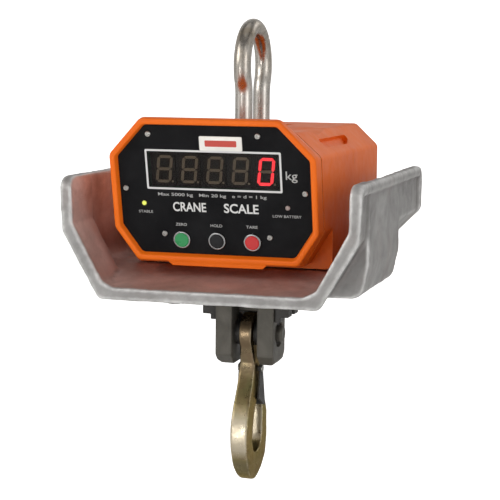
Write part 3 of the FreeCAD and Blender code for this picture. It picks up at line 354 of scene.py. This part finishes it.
def studio_white():
    """Plain pale backdrop. Mirror-like metal sees soft dark bands in it, as it would in a real studio."""
    look = Look("studio_white", Roughness=0.9)
    pale = look.mix(look.noise(2.0, 2.0), rgb(0.86, 0.86, 0.855), rgb(0.88, 0.88, 0.88))
    look.set("Base Color", pale)
    place = look.split(look.coords)
    turn = look.math("ARCTAN2", place["Y"], place["X"])
    waves = look.math("SINE", look.math("ADD", look.math("MULTIPLY", turn, 7.0), 0.6))
    bands = look.ramp(waves, -0.2, 0.4, 0.10, 1.0)
    front = look.ramp(place["Y"], -1.6, 1.2, 0.9, 0.08)
    high = look.ramp(place["Z"], 0.2, 1.4, 0.0, 0.35)
    seen = look.math("MULTIPLY", bands, look.math("MAXIMUM", front, high))
    path = look.add("ShaderNodeLightPath")
    mirror = look.math("MULTIPLY", seen, look.math("MULTIPLY", path.outputs["Is Glossy Ray"], 0.62))
    open_view = look.math("MULTIPLY", path.outputs["Is Camera Ray"], 0.85)
    soft = look.math("MULTIPLY", path.outputs["Is Diffuse Ray"], 0.24)
    look.emit(rgb(1.0, 0.995, 0.985), look.math("ADD", mirror, look.math("ADD", open_view, soft)))
    return look.material


# One look per material slot of the record.
LOOKS = {
    "polished_steel": bright_steel(
        "polished_steel", (0.60, 0.57, 0.53), 0.25, (900, 900, 60), wear=0.22, tarnish=0.75),
    "plated_steel": bright_steel("plated_steel", (0.42, 0.41, 0.385), 0.32, (500, 500, 500), wear=0.15),
    "cell_steel": bright_steel("cell_steel", (0.52, 0.53, 0.54), 0.32, (60, 1400, 1400), wear=0.05),
    "chrome_ring": bright_steel("chrome_ring", (0.34, 0.34, 0.34), 0.20, (400, 400, 400)),
    "dark_steel": dark_metal("dark_steel", (0.040, 0.038, 0.036), (0.24, 0.22, 0.20), 0.50, 0.5),
    "grey_steel": dark_metal("grey_steel", (0.074, 0.068, 0.057), (0.28, 0.265, 0.24), 0.46, 0.35),
    "hook_plating": forged_hook(),
    "cast_aluminium": cast_aluminium(),
    "orange_paint": painted_orange(),
    "black_panel": moulded("panel_film", (0.0050, 0.0050, 0.0058), 0.42, 1400.0, shine=0.06),
    "window_plastic": window_filter(),
    "digit_plastic": moulded("digit_block", (0.014, 0.011, 0.009), 0.55, 900.0, shine=0.1),
    "board_green": moulded("board_green", (0.02, 0.13, 0.06), 0.4, 500.0),
    "black_plastic": moulded("black_plastic", (0.024, 0.024, 0.025), 0.40, 520.0, shine=0.45),
    # The red and green plastic parts glow faintly though they are no lamps: painted glow.
    "green_plastic": moulded("green_plastic", (0.010, 0.20, 0.055), 0.30, 300.0, coat=0.15, glow=0.08),
    "red_plastic": moulded("red_plastic", (0.46, 0.010, 0.011), 0.30, 300.0, coat=0.15, glow=0.08),
    "lamp_green": moulded("lamp_green", (0.56, 0.60, 0.09), 0.3, 300.0, coat=0.3, glow=0.5),
    "white_plate": moulded("white_plate", (0.78, 0.76, 0.71), 0.4, 600.0, coat=0.2),
    "rubber": moulded("rubber", (0.020, 0.020, 0.021), 0.75, 420.0),
}


# ------------------------------------------------------------------ meshes

def link(mesh, name):
    obj = bpy.data.objects.new(name, mesh)
    bpy.context.scene.collection.objects.link(obj)
    return obj


def shade_smooth(mesh):
    mesh.polygons.foreach_set("use_smooth", [True] * len(mesh.polygons))


def evaluated_mesh(obj):
    bpy.context.view_layer.update()
    graph = bpy.context.evaluated_depsgraph_get()
    return bpy.data.meshes.new_from_object(obj.evaluated_get(graph))


def softened(node_name, name, slot, body, voxel, rounds, turn=None, swell=0.0, wave=0.0):
    """Dense copy of a CAD node, its edges melted like those of a casting or forging. It stands for that node.

    turn lines the voxels up with a leaning face. swell is the height of the slow unevenness that sand or
    hammer leaves, and wave is its size.
    """
    work = bmesh.new()
    work.from_mesh(nodes[node_name].data)
    bmesh.ops.remove_doubles(work, verts=work.verts, dist=CAD_WELD)
    if turn is not None:
        work.transform(turn.inverted())
    mesh = bpy.data.meshes.new(name)
    work.to_mesh(mesh)
    work.free()
    draft = link(mesh, name + "_draft")
    remesh = draft.modifiers.new("voxels", "REMESH")
    remesh.mode = "VOXEL"
    remesh.voxel_size = voxel
    smooth = draft.modifiers.new("melt", "SMOOTH")
    smooth.factor = 0.5
    smooth.iterations = rounds
    if swell:
        clouds = bpy.data.textures.new(name + "_swell", "CLOUDS")
        clouds.noise_scale = wave
        clouds.noise_depth = 2
        uneven = draft.modifiers.new("swell", "DISPLACE")
        uneven.texture = clouds
        uneven.texture_coords = "LOCAL"
        uneven.strength = swell
    dense = evaluated_mesh(draft)
    bpy.data.objects.remove(draft)
    if turn is not None:
        dense.transform(turn)
    shade_smooth(dense)
    dense.materials.clear()
    dense.materials.append(LOOKS[slot])
    piece = link(dense, name)
    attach(piece, body)
    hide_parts(node_name)


def band(work, ring, other):
    """Faces between two closed rings of as many corners."""
    for i in range(len(ring)):
        j = (i + 1) % len(ring)
        work.faces.new((ring[i], ring[j], other[j], other[i]))


def slab(outline, hole, low, high):
    """Flat closed piece in panel coordinates, low to high. Its hole, if any, has as many corners."""
    work = bmesh.new()

    def ring(points, n):
        return [work.verts.new((x * MM, s * MM, n * MM)) for x, s in points]

    bottom, top = ring(outline, low), ring(outline, high)
    band(work, bottom, top)
    if hole is None:
        work.faces.new(top)
        work.faces.new(bottom[::-1])
    else:
        hole_bottom, hole_top = ring(hole, low), ring(hole, high)
        band(work, top, hole_top)
        band(work, hole_bottom, bottom)
        band(work, hole_top, hole_bottom)
    bmesh.ops.recalc_face_normals(work, faces=work.faces)
    return work


def merge(works):
    """One bmesh out of several."""
    whole = bmesh.new()
    for work in works:
        part = bpy.data.meshes.new("part")
        work.to_mesh(part)
        work.free()
        whole.from_mesh(part)
        bpy.data.meshes.remove(part)
    return whole


def panel_piece(work, name, material):
    """Places a bmesh given in panel coordinates on the display panel."""
    work.transform(PANEL)
    mesh = bpy.data.meshes.new(name)
    work.to_mesh(mesh)
    work.free()
    mesh.materials.append(material)
    piece = link(mesh, name)
    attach(piece, "scale_body")


def circle(x, s, radius, steps):
    angles = (math.tau * k / steps for k in range(steps))
    return [(x + radius * math.cos(a), s + radius * math.sin(a)) for a in angles]


def rounded_rect(x0, x1, s0, s1, radius):
    """Outline of a rectangle with quarter-circle corners, from the upper right one anticlockwise."""
    steps = 5
    middles = ((x1 - radius, s1 - radius, 0), (x0 + radius, s1 - radius, 90),
               (x0 + radius, s0 + radius, 180), (x1 - radius, s0 + radius, 270))
    points = []
    for x, s, start in middles:
        for i in range(steps + 1):
            a = math.radians(start + 90 * i / steps)
            points.append((x + radius * math.cos(a), s + radius * math.sin(a)))
    return points


# ------------------------------------------------------------------ panel print and digits

DIGITS = 5
DIGIT_W = 14.2        # between the middles of the upright bars
DIGIT_H = 27.0        # between the middles of the top and bottom bars
DIGIT_PITCH = 28.0
DIGIT_SHIFT = 1.2     # x of the middle digit
STROKE = 3.1
BAR_GAP = 0.30        # from a bar's tip to the corner where two bars meet
SLANT = math.tan(math.radians(8.0))
MIDDLE_BAR = 6        # the bar that a 0 leaves dark
DOT_R = 1.25
DOT_GAP = 3.4
DISPLAY_S = -1.2      # middle of the display
DIGIT_TOP = -2.70     # face of the digit blocks, behind the window
DIGIT_RISE = 0.22
INK_RISE = 0.10
LINE_RISE = 0.14


def bar_outline(start, end, centre):
    """One bar with pointed ends, leaning with its digit."""
    along = (end - start).normalized()
    side = Vector((-along.y, along.x))
    half = STROKE / 2
    a, b = start + along * BAR_GAP, end - along * BAR_GAP
    inner, outer = (along + side) * half, (along - side) * half
    return [(centre + p.x + p.y * SLANT, p.y + DISPLAY_S)
            for p in (a, a + inner, b - outer, b, b - inner, a + outer)]


def segments(centre):
    """The seven bars of one digit, in the order a to g."""
    w, h = DIGIT_W / 2, DIGIT_H / 2
    ends = (((-w, h), (w, h)), ((w, h), (w, 0)), ((w, 0), (w, -h)), ((-w, -h), (w, -h)),
            ((-w, -h), (-w, 0)), ((-w, 0), (-w, h)), ((-w, 0), (w, 0)))
    return [bar_outline(Vector(start), Vector(end), centre) for start, end in ends]


def digit_pieces():
    """Dark bars and dots in every digit, and a lit 0 in the last one."""
    dark, lit = [], []
    for i in range(DIGITS):
        centre = (i - DIGITS // 2) * DIGIT_PITCH + DIGIT_SHIFT
        for k, outline in enumerate(segments(centre)):
            group = lit if i == DIGITS - 1 and k != MIDDLE_BAR else dark
            group.append(slab(outline, None, DIGIT_TOP, DIGIT_TOP + DIGIT_RISE))
        dot_x = centre + DIGIT_W / 2 + DOT_GAP - DIGIT_H / 2 * SLANT
        dot = circle(dot_x, DISPLAY_S - DIGIT_H / 2, DOT_R, 20)
        dark.append(slab(dot, None, DIGIT_TOP, DIGIT_TOP + DIGIT_RISE))
    # Unlit bars glow faintly: painted glow.
    unlit_ink = print_ink("bars_dark", (0.34, 0.35, 0.30), 0.12)
    lit_ink = print_ink("bars_lit", (1.0, 0.045, 0.07), 3.2)
    panel_piece(merge(dark), "digit_bars_dark", unlit_ink)
    panel_piece(merge(lit), "digit_bars_lit", lit_ink)


def lettering(text, x, s, cap_height, width, bold):
    """Plain sans letters as a closed bmesh in panel coordinates, centred on x, s and scaled to a width."""
    curve = bpy.data.curves.new("letters", "FONT")
    curve.body = text
    curve.size = 1.0
    curve.offset = bold
    curve.extrude = 0.5
    curve.resolution_u = 4
    draft = bpy.data.objects.new("letters", curve)
    bpy.context.scene.collection.objects.link(draft)
    mesh = evaluated_mesh(draft)
    bpy.data.objects.remove(draft)
    work = bmesh.new()
    work.from_mesh(mesh)
    bmesh.ops.remove_doubles(work, verts=work.verts, dist=LETTER_WELD)
    xs = [v.co.x for v in work.verts]
    ys = [v.co.y for v in work.verts if v.co.y > 0]
    scale_x = width / (max(xs) - min(xs))
    scale_y = cap_height / max(ys)
    mid = (max(xs) + min(xs)) / 2
    for v in work.verts:
        height = INK_RISE if v.co.z > 0 else 0.0
        v.co = Vector(((v.co.x - mid) * scale_x + x, v.co.y * scale_y + s - cap_height / 2, height)) * MM
    return work


BOLD_WORDS = (  # text, x, s, cap height, width, boldness
    ("CRANE", -28.6, -41.6, 10.0, 37.0, 0.018),
    ("SCALE", 28.6, -41.6, 10.0, 38.0, 0.018),
)
FINE_WORDS = (
    ("kg", 85.0, -3.8, 9.0, 12.5, 0.004),
    ("Max 5000 kg   Min 20 kg   e = d = 1 kg", -3.0, -28.3, 3.3, 120.0, 0.010),
    ("ZERO", -39.2, -61.6, 3.0, 12.5, 0.008),
    ("HOLD", 0.0, -61.6, 3.0, 13.0, 0.008),
    ("TARE", 39.2, -61.6, 3.0, 12.5, 0.008),
    ("STABLE", -78.2, -48.4, 2.8, 16.0, 0.004),
    ("LOW BATTERY", 78.2, -48.4, 2.8, 31.0, 0.004),
)
PLATE_FACE = 0.9      # n of the name plate's face


def panel_print():
    """White line round the display, generic words, and a plain stripe on the name plate."""
    line_outside = rounded_rect(-74.6, 74.6, -23.0, 20.9, 1.6)
    line_inside = rounded_rect(-72.5, 72.5, -20.9, 18.8, 0.8)
    line = slab(line_outside, line_inside, 0.0, LINE_RISE)
    bold = merge([line] + [lettering(*word) for word in BOLD_WORDS])
    panel_piece(bold, "panel_print_bold", print_ink("ink_white", (0.64, 0.64, 0.63)))
    stripe = slab(rounded_rect(-7.0, 27.5, 25.4, 32.1, 1.0), None, PLATE_FACE, PLATE_FACE + INK_RISE)
    panel_piece(stripe, "plate_stripe", print_ink("ink_red", (0.52, 0.055, 0.035)))
    fine = merge([lettering(*word) for word in FINE_WORDS])
    panel_piece(fine, "panel_print_fine", print_ink("ink_grey", (0.40, 0.40, 0.39)))


# ------------------------------------------------------------------ dressing the CAD nodes

def dress():
    """Gives each CAD node the look of its slot. The unlit lamp and the black button have their own."""
    slots = {row["node"]: row["material_slot"] for row in frame["record"]["subparts"]}
    for name, obj in nodes.items():
        obj.data.materials.clear()
        obj.data.materials.append(LOOKS[slots[name]])
    lamp_off = moulded("lamp_off", (0.34, 0.26, 0.24), 0.3, 300.0, coat=0.4)
    button_black = moulded("button_black", (0.008, 0.008, 0.009), 0.35, 300.0, shine=0.2)
    nodes["red_lamp"].data.materials[0] = lamp_off
    nodes["black_button"].data.materials[0] = button_black


# ------------------------------------------------------------------ studio

FLOOR_DROP = 0.36
COVE_FLAT_R = 2.4
COVE_TURN_R = 1.2
COVE_WALL = 3.0
COVE_STEPS = 8
COVE_SIDES = 96


def studio():
    """Round cove: a floor that turns up into a wall on every side."""
    floor_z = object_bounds()[0].z - FLOOR_DROP
    profile = [(COVE_FLAT_R / 2, floor_z), (COVE_FLAT_R, floor_z)]
    for i in range(1, COVE_STEPS + 1):
        a = math.radians(90 * i / COVE_STEPS)
        profile.append((COVE_FLAT_R + COVE_TURN_R * math.sin(a), floor_z + COVE_TURN_R * (1 - math.cos(a))))
    profile.append((COVE_FLAT_R + COVE_TURN_R, floor_z + COVE_TURN_R + COVE_WALL))
    work = bmesh.new()
    rings = [[work.verts.new((x, y, z)) for x, y in circle(0.0, 0.0, radius, COVE_SIDES)]
             for radius, z in profile]
    centre = work.verts.new((0.0, 0.0, floor_z))
    for k in range(COVE_SIDES):
        work.faces.new((centre, rings[0][k], rings[0][(k + 1) % COVE_SIDES]))
    for low, high in zip(rings, rings[1:]):
        band(work, high, low)
    mesh = bpy.data.meshes.new("studio_cove")
    work.to_mesh(mesh)
    work.free()
    shade_smooth(mesh)
    mesh.materials.append(studio_white())
    link(mesh, "studio_cove")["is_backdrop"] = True


def area_light(name, place, target, size, power, colour=(1.0, 1.0, 1.0)):
    """Rectangular light at a place, turned to a target."""
    data = bpy.data.lights.new(name, "AREA")
    data.shape = "RECTANGLE"
    data.size, data.size_y = size
    data.energy = power
    data.color = colour
    light = bpy.data.objects.new(name, data)
    bpy.context.scene.collection.objects.link(light)
    light.location = place
    aim = Vector(target) - Vector(place)
    light.rotation_euler = aim.to_track_quat("-Z", "Y").to_euler()


def lights():
    """Soft light all round, brightest from the left front, and a narrow strip for the hook's spine."""
    centre = (0.0, 0.0, PIN_Z - 0.08)
    area_light("key", (-1.3, -1.3, 0.7), centre, (1.2, 1.0), 10.5, (1.0, 0.985, 0.96))
    area_light("fill", (1.8, -0.9, 0.1), centre, (0.8, 1.4), 6.5)
    area_light("top", (0.1, 0.2, 1.5), centre, (1.2, 1.2), 2.6)
    area_light("back", (0.9, 1.6, 0.9), centre, (1.0, 0.6), 2.0)
    area_light("strip", (-0.62, -2.0, PIN_Z - 0.42), (0.0, 0.0, PIN_Z - 0.33), (0.20, 0.7), 4.5)
    world = bpy.data.worlds.new("studio")
    bpy.context.scene.world = world
    world.use_nodes = True
    background = world.node_tree.nodes["Background"]
    background.inputs["Color"].default_value = rgb(1.0, 1.0, 1.0)
    background.inputs["Strength"].default_value = 0.22


CAMERA_PLACE = Vector((0.488, -1.674, PIN_Z + 0.090))
CAMERA_YAW, CAMERA_PITCH, CAMERA_ROLL = 16.3, -6.9, 0.6
LENS_MM = 110.4


def camera():
    """Looks along yaw (to the left of +Y) and pitch, then rolls."""
    yaw, pitch, roll = (math.radians(a) for a in (CAMERA_YAW, CAMERA_PITCH, CAMERA_ROLL))
    ahead = Vector((-math.sin(yaw) * math.cos(pitch), math.cos(yaw) * math.cos(pitch), math.sin(pitch)))
    right = Vector((math.cos(yaw), math.sin(yaw), 0.0))
    up = right.cross(ahead)
    x_axis = math.cos(roll) * right + math.sin(roll) * up
    y_axis = -math.sin(roll) * right + math.cos(roll) * up
    data = bpy.data.cameras.new("camera")
    data.sensor_width = 36.0
    data.lens = LENS_MM
    data.clip_start, data.clip_end = 0.05, 50.0
    cam = bpy.data.objects.new("camera", data)
    bpy.context.scene.collection.objects.link(cam)
    turn = Matrix((x_axis, y_axis, -ahead)).transposed().to_4x4()
    cam.matrix_world = Matrix.Translation(CAMERA_PLACE) @ turn
    bpy.context.scene.camera = cam
    bpy.context.scene.view_settings.view_transform = "Standard"


dress()
softened("heat_shield", "shield_casting", "cast_aluminium", "scale_body", 1.9 * MM, 7,
         swell=1.5 * MM, wave=22.0 * MM)
softened("hook", "hook_forging", "hook_plating", "hook", 0.9 * MM, 26, swell=0.3 * MM, wave=14.0 * MM)
softened("front_frame", "frame_casting", "orange_paint", "scale_body", 0.85 * MM, 6, turn=PANEL)
softened("clevis", "clevis_block", "grey_steel", "scale_body", 0.9 * MM, 5)
softened("shield_brackets", "bracket_blocks", "dark_steel", "scale_body", 0.8 * MM, 4)
digit_pieces()
panel_print()
studio()
lights()
camera()
